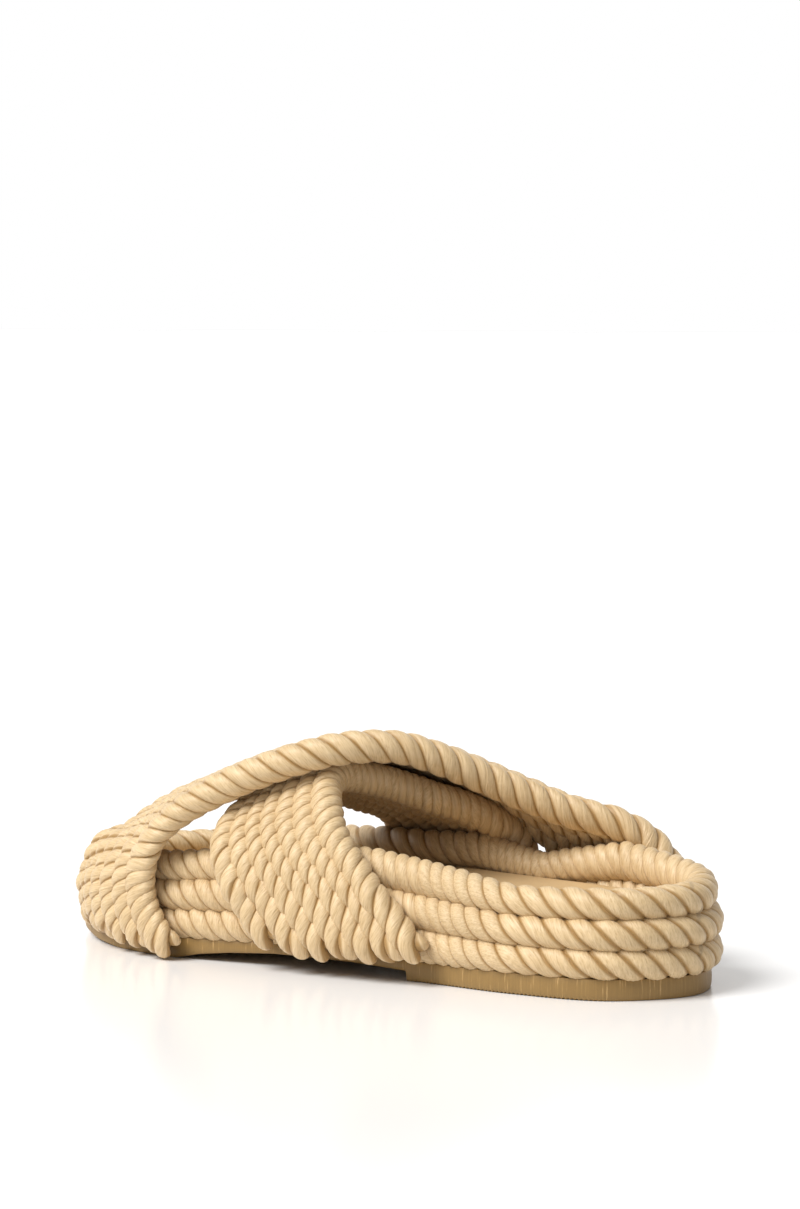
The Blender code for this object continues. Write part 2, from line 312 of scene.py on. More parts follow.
# drops: how far the ends run on, front, second and rear rope, at the lateral and the medial end;
# pressed: thickness along the strap; crowd: how far the rear ropes crowd forwards along it, in mm
STRAPS = (
    ("under_strap_ropes", {
        "guides": UNDER_STRAP,
        "strands": UNDER_STRANDS,
        "seed": 21,
        "drops": ((-3.8, -0.9, -3.6), (1.5, 1.5, 1.5)),
        "pressed": ((0.0, 1.0), (1.0, 1.0)),
        "crowd": ((0.0, 1.0), (0.0, 0.0)),
    }),
    ("over_strap_ropes", {
        "guides": OVER_STRAP,
        "strands": OVER_STRANDS,
        "seed": 61,
        "drops": ((1.0, 1.0, 4.0), (1.5, 1.5, 1.5)),
        "pressed": ((0.0, 0.14, 0.26, 1.0), (0.74, 0.74, 1.0, 1.0)),
        "crowd": ((0.0, 0.10, 0.22, 1.0), (1.6, 1.6, 0.0, 0.0)),
    }),
)

# How finely curves are cut: points round an outline and along a strap, steps worked out for each
# point, points of a closed curve that are used again past its ends
INSOLE_POINTS = 360
ROW_POINTS = 720
OUTSOLE_POINTS = 1560
STRAP_POINTS = 170
FINENESS = 12
LAP = 3

WHITE = (1.0, 1.0, 1.0)
# A colour Mix node's sockets, whose names its other kinds use too
MIX_FIRST, MIX_SECOND, MIX_RESULT = 6, 7, 2
# Stage: half the floor's side and the camera's near and far limits in metres, its sensor in mm
FLOOR_HALF_SIZE = 30.0
CLIP = (0.05, 200.0)
SENSOR_HEIGHT = 24.0


# Curves and grids

def arc_length(path):
    """Length walked along a path up to each of its points."""
    return np.r_[0.0, np.cumsum(np.linalg.norm(np.diff(path, axis=0), axis=1))]


def smooth_path(points, count, closed=False):
    """Cubic pieces through the points, with knots spaced by the square root of each step, read off
    at `count` points that stand an equal length apart."""
    points = np.asarray(points, float)
    if closed:
        points = np.vstack([points[-LAP:], points, points[:LAP]])
    step = np.linalg.norm(np.diff(points, axis=0), axis=1) ** 0.5
    knots = np.r_[0.0, np.cumsum(step)]
    slope = np.diff(points, axis=0) / step[:, None]
    before, after = step[:-1, None], step[1:, None]
    inner = (slope[:-1] * after + slope[1:] * before) / (before + after)
    tangent = np.vstack([slope[:1], inner, slope[-1:]])
    first, last = (LAP, len(points) - LAP) if closed else (0, len(points) - 1)
    t = np.linspace(knots[first], knots[last], count * FINENESS + 1)
    i = np.clip(np.searchsorted(knots, t, side="right") - 1, 0, len(step) - 1)
    h = step[i][:, None]
    u = ((t - knots[i]) / step[i])[:, None]
    curve = ((1 + 2 * u) * (1 - u) ** 2 * points[i] + u * (1 - u) ** 2 * h * tangent[i]
             + u ** 2 * (3 - 2 * u) * points[i + 1] + u ** 2 * (u - 1) * h * tangent[i + 1])
    length = arc_length(curve)
    even = np.linspace(0.0, length[-1], count, endpoint=not closed)
    return columns(even, length, curve)


def columns(at, known, table):
    """Every column of a table read off at new places, by straight lines between its rows."""
    return np.column_stack([np.interp(at, known, table[:, k]) for k in range(table.shape[1])])


def outline(rows, ends, count):
    """Closed outline, anticlockwise from the heel back, through a table's two sides."""
    lateral = [(row[1], row[0]) for row in rows]
    medial = [(row[2], row[0]) for row in rows]
    return smooth_path([ends[0]] + medial + [ends[1]] + lateral[::-1], count, closed=True)


def middle_line(curve, length, first, last):
    """Point of the shoe's middle line that each point of an outline is drawn in to: x grows evenly
    over the outline's length, and y is the point's own, kept from `first` to `last`."""
    x = np.interp(curve[:, 1], (0, length), (0, MIDDLE_DRIFT))
    return np.column_stack([x, np.clip(curve[:, 1], first, last)])


def offset(curve, distance):
    """The closed curve moved outwards, square to itself."""
    along = np.roll(curve, -1, axis=0) - np.roll(curve, 1, axis=0)
    along /= np.linalg.norm(along, axis=1)[:, None]
    return curve + distance * np.column_stack([along[:, 1], -along[:, 0]])


def unit(vectors):
    """Vectors brought to length one."""
    return vectors / np.maximum(np.linalg.norm(vectors, axis=-1, keepdims=True), 1e-9)


def two_sides(x, y, table):
    """A table's lateral and medial columns at y, blended from one to the other across x."""
    table = np.array(table, float)
    lateral = np.interp(y, table[:, 0], table[:, 1])
    medial = np.interp(y, table[:, 0], table[:, 2])
    return lateral + (medial - lateral) * np.clip(0.5 + x / BLEND_WIDTH, 0.0, 1.0)


def stack_heights(x, y):
    """Height of the top row's centre and of the outsole's top at each place in plan."""
    table = np.array(STACK, float)
    return two_sides(x, y, STACK), np.interp(y, table[:, 0], table[:, 3])


def waves(s, length, seed, count=5):
    """Slow seeded wobble from -1 to 1 along a path: `count` sine waves that go 2, 5, 8 and so on
    times over its length, each with its own start and size, added and divided by their sizes."""
    random = np.random.default_rng(seed)
    turns = np.arange(2, 2 + 3 * count, 3)
    phase = random.uniform(0, 2 * np.pi, count)
    size = random.uniform(0.4, 1.0, count)
    total = np.sin(2 * np.pi * s[:, None] / length * turns + phase) @ size
    return total / size.sum()


def new_piece(name, places, faces, grain=None, crease_shade=None, sharp=None):
    """Object with its place in its mesh, from places in mm and faces as index rows. `grain` is a
    place on the surface for each point, the crease shade a number from 0 to 1 for each point
    that sets how much painted shade falls there, and `sharp` the angle past which an edge is
    sharp; each may be left out."""
    mesh = bpy.data.meshes.new(name)
    mesh.from_pydata(((places.reshape(-1, 3) - CENTRE) * MM).tolist(), [], faces)
    if grain is not None:
        layer = mesh.uv_layers.new(name="grain")
        corners = np.empty(len(mesh.loops), dtype=np.int32)
        mesh.loops.foreach_get("vertex_index", corners)
        layer.data.foreach_set("uv", grain.reshape(-1, 2).astype(np.float32)[corners].ravel())
    if crease_shade is not None:
        layer = mesh.attributes.new("crease_shade", "FLOAT", "POINT")
        layer.data.foreach_set("value", crease_shade.astype(np.float32))
    mesh.polygons.foreach_set("use_smooth", np.ones(len(mesh.polygons), dtype=bool))
    if sharp is not None:
        mesh.set_sharp_from_angle(angle=sharp)
    mesh.update()
    piece = bpy.data.objects.new(name, mesh)
    bpy.context.scene.collection.objects.link(piece)
    return piece


def grid_faces(rows, sides, closed_rows):
    """Quads of a grid whose rows each close round, and which closes from its last row to its first
    where `closed_rows` is true."""
    r = np.arange(rows if closed_rows else rows - 1)[:, None]
    c = np.arange(sides)[None, :]
    below = (r + 1) % rows
    right = (c + 1) % sides
    quads = np.stack([r * sides + c, r * sides + right, below * sides + right, below * sides + c],
                     axis=-1)
    return quads.reshape(-1, 4)


def capped_rings(name, rings, grain, sharp):
    """Object of rings that lie one outside the next on its top and run down to its underside, with a
    face inside the first ring and one inside the last."""
    count, sides = rings.shape[:2]
    faces = grid_faces(count, sides, False)[:, ::-1].tolist()
    faces += [list(range(sides)), list(range((count - 1) * sides, count * sides))[::-1]]
    return new_piece(name, rings, faces, grain, sharp=sharp)


# Rope

def strand_shape(spacing, radius, fullness):
    """Radius of a strand's own path, its half width and its slope to the rope, so that strands whose
    turns stand `spacing` apart fill a rope of this radius and press on each other by `fullness`.
    The slope follows from the path's radius, the half width from the slope and the path's radius
    from the half width, so the three are worked out in turn a few times."""
    path = PATH_GUESS * radius
    for _ in range(PASSES):
        slope = np.arctan(2 * np.pi * path / (STRANDS * spacing))
        half = np.minimum(fullness * spacing * np.sin(slope) / 2, STRAND_MOST * radius)
        path = radius - half * STRAND_SINK
    return path, half, slope


def strand_rings(rope, count, closed, random):
    """Lengths at which a strand's rings stand, and each ring's size as a share of the full one. On
    a closed rope they are even and full. On an open one a strand's ends fall short by a random
    length, and its size follows a quarter of an ellipse over `tip`."""
    length = rope["length"][-1]
    if closed:
        return np.linspace(0, length, count, endpoint=False), np.ones(count)
    near, far = random.uniform(0.0, UNEVEN_ENDS, 2)
    tip = rope["tip"]
    bow = tip * (1 - np.cos(np.linspace(TIP_START, 1, TIP_RINGS) * np.pi / 2))
    body = np.linspace(near + tip, length - far - tip, count)[1:-1]
    s = np.r_[near + bow, body, length - far - bow[::-1]]
    reach = np.minimum(s - near, length - far - s)
    return s, np.sqrt(np.clip(1 - np.clip(1 - reach / tip, 0, 1) ** 2, 0.0, 1.0))


def rope_table(rope, closed):
    """A rope's numbers at each point of its path, in columns: centre, up, width, height, strand
    spacing, the angle turned so far, direction. The strands turn by a third of a turn in each
    `spacing` of length, and by whole turns in all where the rope closes on itself."""
    length, rate = rope["length"], 1 / rope["spacing"]
    step = np.diff(length) * 2 * np.pi / STRANDS * 0.5 * (rate[1:] + rate[:-1])
    turn = np.r_[0.0, np.cumsum(step)]
    along = np.gradient(rope["centre"], length, axis=0)
    if closed:
        whole = 2 * np.pi * max(1, round(turn[-1] / (2 * np.pi)))
        turn *= whole / turn[-1]
        along[0] = along[-1] = unit((along[0] + along[-1])[None])[0]
    return np.column_stack([rope["centre"], rope["up"], rope["width"], rope["height"],
                            rope["spacing"], turn, along])


def strand(rope, table, k, sizes, closed):
    """Strand k of a rope. At each place along the rope its centre stands on a circle, at an angle
    that grows with the length; its section is an ellipse square to its own direction, squeezed with
    the rope's width and height. The grain runs along the strand and round it, turned by the fibres'
    lean. The crease shade is a point's angle from the strand's outermost line as a share of a right
    angle, at most 1; the material paints shade into the creases between strands by it. Returns
    places, arrays of faces, grain and crease shade."""
    length = rope["length"][-1]
    count = int(table[-1, 9] / (2 * np.pi) * sizes.stations_per_turn) + 1
    random = np.random.default_rng(rope["seed"] * 7 + k)
    s, ends = strand_rings(rope, count, closed, random)
    row = columns(s, rope["length"], table)
    centre, up, forward = row[:, 0:3], row[:, 3:6], unit(row[:, 10:13])
    width, height, spacing, angle = row[:, 6:10].T
    up = unit(up - forward * (up * forward).sum(axis=1)[:, None])
    side = np.cross(up, forward)
    mean = np.sqrt(width * height)
    path, half, slope = strand_shape(spacing, mean, sizes.fullness)
    angle = angle + rope["phase"] + 2 * np.pi * k / STRANDS
    size = (1 + STRAND_SWELL * waves(s, length, rope["seed"] * 11 + k)) * ends
    phi = np.linspace(0, 2 * np.pi, sizes.sides, endpoint=False) + np.pi
    radial = path[:, None] + half[:, None] * size[:, None] * np.cos(phi)
    round_ = half[:, None] * size[:, None] * np.sin(phi) * sizes.strand_spread
    tangent = round_ * np.cos(slope)[:, None]
    axial = -round_ * np.sin(slope)[:, None]
    c, d = np.cos(angle)[:, None], np.sin(angle)[:, None]
    across = (radial * c - tangent * d) * (width / mean)[:, None]
    rise = (radial * d + tangent * c) * (height / mean)[:, None]
    places = (centre[:, None] + across[..., None] * side[:, None] + rise[..., None] * up[:, None]
              + axial[..., None] * forward[:, None])
    from_outermost = phi - 2 * np.pi
    shift = np.array([k, rope["seed"]]) * GRAIN_SHIFT
    u = (s / np.maximum(np.cos(slope), LEAST_COSINE) + shift[0] + shift[1])[:, None]
    v = from_outermost * half[:, None]
    lean = np.radians(sizes.fibre_lean)
    grain = np.stack([u * np.cos(lean) - v * np.sin(lean), u * np.sin(lean) + v * np.cos(lean)],
                     axis=-1).reshape(-1, 2)
    # Mask of the painted shade between strands: how far round a point lies from the strand's outermost
    # line
    crease_shade = np.tile(np.clip(np.abs(from_outermost) / (np.pi / 2), 0, 1), len(s))
    faces = grid_faces(len(s), sizes.sides, closed)
    if closed:
        return places.reshape(-1, 3), [faces], grain, crease_shade
    tips = np.array([places[0].mean(axis=0), places[-1].mean(axis=0)])
    tip_grain = np.array([[u[0, 0], 0.0], [u[-1, 0], 0.0]])
    return (np.vstack([places.reshape(-1, 3), tips]), [faces, tip_faces(len(s), sizes.sides)],
            np.vstack([grain, tip_grain]), np.r_[crease_shade, np.zeros(2)])


def tip_faces(rows, sides):
    """Triangles from the first ring of a grid to the point after its last one, and from its last
    ring to the point after that."""
    ring = np.arange(sides)
    after = (ring + 1) % sides
    tail, last = (rows - 1) * sides, rows * sides
    start = np.column_stack([after, ring, np.full(sides, last)])
    end = np.column_stack([tail + ring, tail + after, np.full(sides, last + 1)])
    return np.vstack([start, end])


def rope_object(name, ropes, sizes, closed):
    """One mesh of several twisted ropes, each of three strands laid round its path."""
    strands = []
    for rope in ropes:
        table = rope_table(rope, closed)
        strands += [strand(rope, table, k, sizes, closed) for k in range(STRANDS)]
    places, faces, grains, crease_shades = zip(*strands)
    first, numbered = 0, []
    for points, parts in zip(places, faces):
        for part in parts:
            numbered += (part + first).tolist()
        first += len(points)
    return new_piece(name, np.vstack(places), numbered, np.vstack(grains),
                     np.concatenate(crease_shades))


def row_rope(place, stand, phase, sizes):
    """Path and sizes of one rope of the edge; place is 0, 1 or 2 from the outsole up. It follows the
    insole's outline moved out by half a row and its stand, at its own share of the height from the
    outsole's top to the top row's centre, with a slow wobble up and down."""
    curve = outline(INSOLE_OUTLINE, INSOLE_ENDS, ROW_POINTS)
    centre = offset(curve, GAP / 2 + ROW_WIDTH / 2 + stand)
    centre = np.vstack([centre, centre[:1]])
    rim, base = stack_heights(centre[:, 0], centre[:, 1])
    pitch = (rim - base) / (len(EDGE_ROPES) - 0.5)
    path = np.column_stack([centre, base + (place + 0.5) * pitch])
    length = arc_length(path)
    wobble = waves(length, length[-1], ROW_WOBBLE_SEED + place)
    path[:, 2] += ROW_SWAY * wobble
    return {
        "centre": path,
        "length": length,
        "up": np.tile([0.0, 0.0, 1.0], (len(path), 1)),
        "width": np.full(len(path), sizes.row_half_width),
        "height": pitch * sizes.row_press + ROW_SWELL * wobble,
        "spacing": two_sides(path[:, 0], path[:, 1], ROW_STRANDS) * (1 + ROW_UNEVEN * wobble),
        "phase": phase,
        "seed": ROW_SEED + place,
    }


def clear_of_rows(points, room):
    """Points of the strap moved out of the rope rows, and the direction in from each. Up to the top
    row's centre a point stands at least half a row and `room` out from the rows' middle line;
    above it, outside the circle of that radius round the row's centre. STRAP_STAND is added."""
    curve = outline(INSOLE_OUTLINE, INSOLE_ENDS, ROW_POINTS)
    away = offset(curve, 1.0) - curve
    flat = points.reshape(-1, 3)
    gap = flat[:, None, :2] - curve[None, :, :]
    near = np.argmin((gap ** 2).sum(axis=2), axis=1)
    reach = (gap[np.arange(len(flat)), near] * away[near]).sum(axis=1)
    row = curve[near] + away[near] * (GAP / 2 + ROW_WIDTH / 2)
    rim = stack_heights(row[:, 0], row[:, 1])[0]
    radius = ROW_WIDTH / 2 + room.ravel()
    rise = np.clip(flat[:, 2] - rim, 0.0, None) / radius
    stand = np.interp(flat[:, 2] - rim, *STRAP_STAND)
    needed = (GAP + ROW_WIDTH) / 2 + stand + radius * np.sqrt(np.clip(1 - rise ** 2, 0.0, None))
    short = np.where(rise < 1, np.clip(needed - reach, 0.0, None), 0.0)
    moved = flat.copy()
    moved[:, :2] += away[near] * short[:, None]
    return moved.reshape(points.shape), -away[near].reshape(points.shape[:-1] + (2,))


def strap_sheet(guides, ropes):
    """Grid of a strap's places, a row for each station and a column for each rope: a station's
    places lie on the parabola through its three guides."""
    front, middle, rear = (smooth_path(guides[k], STRAP_POINTS)
                           for k in ("front", "middle", "rear"))
    f = np.linspace(0.0, 1.0, ropes)[None, :, None]
    return (2 * (f - 0.5) * (f - 1) * front[:, None] - 4 * f * (f - 1) * middle[:, None]
            + 2 * f * (f - 0.5) * rear[:, None])


def run_on(path, first_way, last_way):
    """The path with straight ends added, RUN_ON long, before its first point and past its last."""
    t = np.linspace(0, 1, RUN_ON_STEPS + 1)[1:, None]
    return np.vstack([(path[0] - first_way * RUN_ON * t)[::-1], path, path[-1] + last_way * RUN_ON * t])


def strap_ropes(strap, sizes):
    """The ropes of a strap. Each follows its column of the strap's sheet, cleared of the edge's
    ropes. Its ends run on below the guides' ends, curl in under the edge by the square of what is
    left of TUCK_REACH, and are cut to length."""
    ropes = sizes.ropes
    share_along = np.linspace(0.0, 1.0, STRAP_POINTS)
    half_height = np.interp(share_along, *strap["pressed"]) * sizes.strap_half_height
    crowd = np.interp(share_along, *strap["crowd"])
    room = np.repeat(half_height[:, None] - STRAP_PRESS_IN, ropes, axis=1)
    sheet, inward = clear_of_rows(strap_sheet(strap["guides"], ropes), room)
    along = unit(np.gradient(sheet, axis=0))
    across = np.gradient(sheet, axis=1)
    up = unit(np.cross(across, along))
    across -= along * (across * along).sum(axis=2)[..., None]
    pitch = np.linalg.norm(across, axis=2)
    table = np.array(strap["strands"], float)
    made = []
    for i in range(ropes):
        share = i / (ropes - 1)
        path = sheet[:, i] - unit(across[:, i]) * (crowd * share ** CROWD_BEND)[:, None]
        path = run_on(path, along[0, i], along[-1, i])
        edge = int(i in (0, ropes - 1))
        width = np.clip(pitch[:, i] * sizes.strap_spread, LEAST_HALF_WIDTH[edge],
                        sizes.strap_half_width)
        if i == ropes - 1:
            width = width * (1 + crowd / CROWD_SPAN)
        rows = np.column_stack([up[:, i], width, half_height + EXTRA_HALF_HEIGHT[edge]])
        added = (RUN_ON_STEPS, RUN_ON_STEPS)
        rows = np.column_stack([path, np.pad(rows, (added, (0, 0)), mode="edge")])
        length = arc_length(path)
        drop = [np.interp(share, DROP_SHARES, ends) for ends in strap["drops"]]
        at = np.linspace(RUN_ON - drop[0], length[-1] - RUN_ON + drop[1], STRAP_POINTS)
        rows = columns(at, length, rows)
        place = at / length[-1]
        spacing = (np.interp(place, table[:, 0], table[:, 1]) * (1 - share)
                   + np.interp(place, table[:, 0], table[:, 2]) * share)
        at = at - at[0]
        for end, far in ((0, at), (-1, at[-1] - at)):
            curl = sizes.tuck * np.clip(1 - far / TUCK_REACH, 0.0, None) ** 2
            rows[:, 0:2] += inward[end, i] * curl[:, None]
        seed = strap["seed"] + i
        made.append({
            "centre": rows[:, 0:3],
            "length": at,
            "up": rows[:, 3:6],
            "width": rows[:, 6],
            "height": rows[:, 7],
            "spacing": spacing * (1 + STRAP_UNEVEN * waves(at, at[-1], seed)),
            "phase": STRAP_PHASE * i + strap["seed"],
            "seed": seed,
            "tip": STRAP_TIP,
        })
    return made


# Materials

class Nodes:
    """Short way to add, fill and link the shader nodes of a material or world."""

    def __init__(self, owner, shader):
        self.owner = owner
        owner.use_nodes = True
        self.tree = owner.node_tree
        self.shader = self.tree.nodes[shader]

    def put(self, socket, value):
        """Give a socket a value, or link another node's output to it."""
        if isinstance(value, bpy.types.NodeSocket):
            self.tree.links.new(value, socket)
        else:
            socket.default_value = value

    def fill(self, node, **values):
        """Set a node's own settings, which have small letters, and its sockets, which have a
        capital letter and _ for a space."""
        for key, value in values.items():
            if key[0].islower():
                setattr(node, key, value)
            else:
                self.put(node.inputs[key.replace("_", " ")], value)

    def add(self, kind, **values):
        """New node, filled."""
        node = self.tree.nodes.new("ShaderNode" + kind)
        self.fill(node, **values)
        return node

    def grain(self, along, round_):
        """Place on the surface along and round the grain, scaled; gives its socket."""
        place = self.add("UVMap", uv_map="grain")
        scale = (along, round_, 1.0)
        return self.add("Mapping", Vector=place.outputs["UV"], Scale=scale).outputs["Vector"]

    def place(self):
        """Place in the object; gives its socket."""
        return self.add("TexCoord").outputs["Object"]

    def noise(self, place, **values):
        """Noise read at a place; gives its socket."""
        return self.add("TexNoise", Vector=place, **values).outputs["Fac"]

    def ramp(self, share, *stops):
        """Colour ramp through (place, colour) stops, read at a share; gives its socket."""
        node = self.add("ValToRGB", Fac=share)
        band = node.color_ramp
        while len(band.elements) < len(stops):
            band.elements.new(0.5)
        for element, (place, colour) in zip(band.elements, stops):
            element.position = place
            element.color = (*colour, 1.0)
        return node.outputs["Color"]

    def mix(self, blend, share, first, second):
        """Two colours mixed by a share; gives the result's socket."""
        node = self.add("Mix", data_type="RGBA", blend_type=blend, Factor=share)
        self.put(node.inputs[MIX_FIRST], first)
        self.put(node.inputs[MIX_SECOND], second)
        return node.outputs[MIX_RESULT]

    def bump(self, height, **values):
        """Bump from a height; gives its socket."""
        return self.add("Bump", Height=height, **values).outputs["Normal"]


def new_material(name):
    """The nodes of a new material."""
    return Nodes(bpy.data.materials.new(name), "Principled BSDF")


def rope_material(name, colours):
    """Soft twisted yarn: fibres along the strands, painted warm shade in the creases between strands, a
    low sheen.
    """
    n = new_material(name)
    light = np.array(colours.rope)
    fibre = n.noise(n.grain(0.42, 2.1), Scale=1.0, Detail=3.0, Roughness=0.6)
    yarn = n.noise(n.grain(0.12, 0.85), Scale=1.0, Detail=2.0)
    patch = n.noise(n.place(), Scale=55.0, Detail=2.0)
    tint = n.ramp(fibre, (0.32, light * (0.82, 0.77, 0.69)), (0.50, light), (0.70, light * 1.10))
    yarn_tint = n.ramp(yarn, (0.3, (0.80, 0.75, 0.66)), (0.65, WHITE))
    broad = n.ramp(patch, (0.35, (0.93, 0.91, 0.88)), (0.65, WHITE))
    cloth = n.mix("MULTIPLY", 1.0, n.mix("MULTIPLY", 0.8, tint, yarn_tint), broad)
    # Painted shade: the crease share mixes the colour over to the dark crease colour between the
    # strands
    crease_shade = n.add("Attribute", attribute_name="crease_shade").outputs["Fac"]
    line = n.add("MapRange", interpolation_type="SMOOTHSTEP", Value=crease_shade, From_Min=0.46,
                 From_Max=0.72)
    colour = n.mix("MIX", line.outputs["Result"], cloth, (*colours.rope_crease_shade, 1.0))
    fine = n.bump(fibre, Strength=0.7, Distance=0.0004)
    normal = n.bump(yarn, Normal=fine, Strength=0.45, Distance=0.0006)
    n.fill(n.shader, Base_Color=colour, Normal=normal, Roughness=0.44, Specular_IOR_Level=0.5,
           Sheen_Weight=0.18, Sheen_Roughness=0.4, Sheen_Tint=(1.0, 0.93, 0.80, 1.0))
    return n.owner


def rubber_material(colours):
    """Moulded tan rubber: fine upright scuffs and scratches, a faint cloudy tone."""
    n = new_material("outsole_rubber_finish")
    base = np.array(colours.rubber)
    streak = n.noise(n.grain(1.4, 0.05), Scale=1.0, Detail=4.0, Roughness=0.65)
    cloud = n.noise(n.place(), Scale=38.0, Detail=3.0)
    tone = n.ramp(streak, (0.25, base * 0.86), (0.55, base), (0.61, base * 1.10),
                  (0.66, base * 1.9 + 0.06))
    broad = n.ramp(cloud, (0.3, (0.90, 0.88, 0.84)), (0.7, WHITE))
    normal = n.bump(streak, Strength=0.25, Distance=0.0003)
    n.fill(n.shader, Base_Color=n.mix("MULTIPLY", 1.0, tone, broad), Normal=normal,
           Roughness=0.48, Specular_IOR_Level=0.4)
    return n.owner


def leather_material(colours):
    """Smooth tan lining: fine pores and a soft cloudy tone."""
    n = new_material("insole_leather_finish")
    base = np.array(colours.leather)
    cloud = n.noise(n.place(), Scale=30.0, Detail=4.0)
    tone = n.ramp(cloud, (0.3, base * 0.90), (0.7, base * 1.04))
    pore = n.add("TexVoronoi", Vector=n.place(), Scale=1500.0).outputs["Distance"]
    normal = n.bump(pore, Strength=0.12, Distance=0.0002)
    n.fill(n.shader, Base_Color=tone, Normal=normal, Roughness=0.46, Specular_IOR_Level=0.45)
    return n.owner


# Sizes and colours that a user would change

class RopeSizes(bpy.types.PropertyGroup):
    """Thickness of the ropes and how finely they are cut; lengths are in millimetres."""

    ropes: IntProperty(name="Ropes in a strap", description="Ropes side by side in each strap",
                       default=7, min=3, max=12)
    row_half_width: FloatProperty(name="Edge rope half width",
                                  description="Half the width of a rope of the edge, in mm",
                                  default=5.8, min=3.0, max=9.0)
    row_press: FloatProperty(name="Edge rope press", default=0.6, min=0.4, max=0.8,
                             description="Half height of an edge rope as a share of the pitch")
    strap_half_width: FloatProperty(name="Strap rope half width", default=5.7, min=3.0, max=9.0,
                                    description="Most half width of a strap rope, in mm")
    strap_half_height: FloatProperty(name="Strap rope half height", default=5.4, min=3.0, max=9.0,
                                     description="Half height of a strap rope, in mm")
    strap_spread: FloatProperty(name="Strap rope spread", default=0.82, min=0.5, max=1.0,
                                description="Half width of a strap rope as a share of the pitch")
    fullness: FloatProperty(name="Fullness", default=1.2, min=1.0, max=1.5,
                            description="How far the strands press on each other")
    strand_spread: FloatProperty(name="Strand spread", default=1.16, min=1.0, max=1.5,
                                 description="Width of a strand over its height")
    tuck: FloatProperty(name="Tuck", default=3.4, min=0.0, max=8.0,
                        description="How far a strap rope's end leans in under the edge, in mm")
    fibre_lean: FloatProperty(name="Fibre lean", default=-16.0, min=-90.0, max=90.0,
                              description="Angle of the fibres to their strand, in degrees")
    stations_per_turn: IntProperty(name="Rings per turn", default=24, min=8, max=48,
                                   description="Rings of vertices in one turn of a strand")
    sides: IntProperty(name="Sides", default=14, min=6, max=32,
                       description="Vertices round one strand")


class SandalColours(bpy.types.PropertyGroup):
    """Colours of the rope, rubber and leather."""

    rope: FloatVectorProperty(name="Rope", description="Lit yarn", subtype="COLOR", size=3,
                              default=(0.68, 0.51, 0.295), min=0.0, max=1.0)
    # Painted shade: the dark colour that the rope material paints into the creases between strands
    rope_crease_shade: FloatVectorProperty(name="Rope crease", description="Yarn deep between strands",
                                   subtype="COLOR", size=3, default=(0.36, 0.21, 0.07),
                                   min=0.0, max=1.0)
    rubber: FloatVectorProperty(name="Rubber", description="Outsole", subtype="COLOR", size=3,
                                default=(0.265, 0.16, 0.05), min=0.0, max=1.0)
    leather: FloatVectorProperty(name="Leather", description="Insole", subtype="COLOR", size=3,
                                 default=(0.55, 0.385, 0.20), min=0.0, max=1.0)
    floor: FloatVectorProperty(name="Floor", description="Pale floor", subtype="COLOR", size=3,
                               default=(0.93, 0.92, 0.91), min=0.0, max=1.0)


class StageSettings(bpy.types.PropertyGroup):
    """Camera, sun and surround."""

    eye: FloatVectorProperty(name="Camera place", description="Where the camera stands",
                             subtype="TRANSLATION", unit="LENGTH", size=3,
                             default=(-1.0254, -0.8003, 0.2231))
    sight: FloatVectorProperty(name="Camera direction", description="Where the camera looks",
                               subtype="DIRECTION", size=3, default=(0.78948, 0.60889, -0.07728))
    lens: FloatProperty(name="Lens", description="Focal length in mm, for a sensor 24 mm high",
                        default=75.3, min=20.0, max=300.0)
    key_from: FloatVectorProperty(name="Key light side",
                                  description="Where the key light comes from",
                                  subtype="DIRECTION", size=3, default=(-0.66, 0.26, 0.84))
    key_power: FloatProperty(name="Key light", description="Power of the key light",
                             default=3.8, min=0.0, max=50.0)
    key_spread: FloatProperty(name="Key light spread", description="Width of the key light",
                              subtype="ANGLE", default=0.6, min=0.0, max=3.1)
    world: FloatProperty(name="Room light", description="Strength of the white surround",
                         default=0.43, min=0.0, max=10.0)


# Pieces

def dress(piece, node, material):
    """Give a piece its finish and the body it rides on, and hide the CAD node that it stands for."""
    piece.data.materials.append(material)
    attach(piece, "root")
    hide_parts(node)


def outsole_rings():
    """Rings round the outsole, from its top in over the edge, down the side and in underneath.
    A ring is the outline moved out by its reach, or drawn in to the middle line by a share; its
    height runs from the top to the underside by its level, the underside being ribbed at the heel's
    edge by a cosine of the length along y. Returns the rings and the length round the outline."""
    curve = outline(OUTSOLE_OUTLINE, OUTSOLE_ENDS, OUTSOLE_POINTS)
    # one point of each side stands on each line of the heel block's front face
    for side in (curve[:, 0] < 0, curve[:, 0] > 0):
        points = np.flatnonzero(side)
        for line in HEEL_BREAST:
            curve[points[np.argmin(np.abs(curve[points, 1] - line))], 1] = line
    walk = arc_length(curve)
    y = curve[:, 1]
    table, under = np.array(STACK, float), np.array(UNDERSIDE, float)
    middle = middle_line(curve, *OUTSOLE_MIDDLE)
    heel = np.clip((HEEL_BREAST[0] - y) / RIB_FADE[0], 0, 1) * np.clip(y / RIB_FADE[1], 0, 1)
    ribs = RIB_DEPTH * heel * (0.5 - 0.5 * np.cos(2 * np.pi * y / RIB_PITCH))
    rings = []
    for share in SOLE_TOP_SHARES:
        flat = middle + (curve - middle) * share
        top = np.interp(flat[:, 1], table[:, 0], table[:, 3]) - GAP / 2
        rings.append(np.column_stack([flat, top]))
    high = np.interp(y, table[:, 0], table[:, 3]) - GAP / 2
    low = np.interp(y, under[:, 0], under[:, 1]) + ribs
    for reach, level in SOLE_EDGE:
        rings.append(np.column_stack([offset(curve, reach), high + (low - high) * level]))
    for share in SOLE_UNDER_SHARES:
        flat = middle + (curve - middle) * share
        floor = np.interp(flat[:, 1], under[:, 0], under[:, 1])
        rings.append(np.column_stack([flat, floor + ribs * (share > RIB_SHARE)]))
    return np.array(rings), walk


